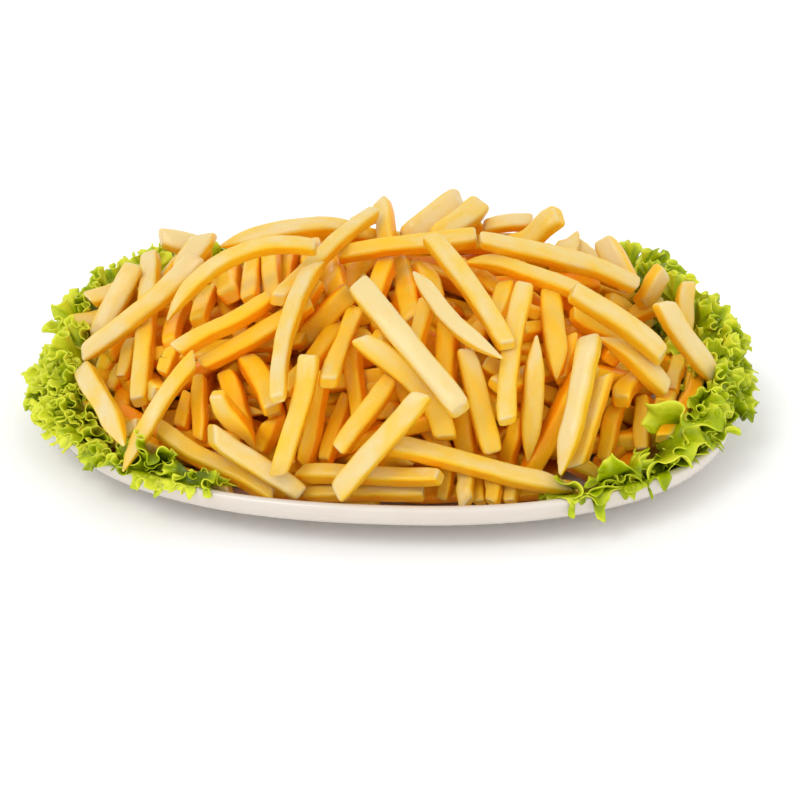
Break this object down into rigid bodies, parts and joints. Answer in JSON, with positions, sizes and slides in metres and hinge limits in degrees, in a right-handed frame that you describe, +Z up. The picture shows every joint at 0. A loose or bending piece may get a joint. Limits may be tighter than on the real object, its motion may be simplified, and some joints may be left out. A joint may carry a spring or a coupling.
{
  "type": "french fries portion",
  "caption": "Heaped french fries on an oval white serving platter, with frilly green lettuce tucked round both ends.",
  "frame": {"origin": "on the table, under the middle of the platter", "axes": "+X along the platter's length, +Y towards its back, +Z up"},
  "size_m": [0.3781, 0.2445, 0.1185],
  "materials": {
    "porcelain": "white glazed porcelain, glossy, with a warm tint",
    "fried_potato": "fried potato: pale cream faces, golden edges, a thin oily sheen",
    "lettuce": "fresh frilly lettuce leaf: bright yellow-green, thin, slightly wet and translucent"
  },
  "bodies": {
    "root": {"platter": "porcelain", "fries_heap": "fried_potato", "lettuce_right_front": "lettuce", "lettuce_right_end": "lettuce", "lettuce_right_back": "lettuce", "lettuce_left_back": "lettuce", "lettuce_left_end": "lettuce", "lettuce_left_front": "lettuce"}
  },
  "joints": []
}
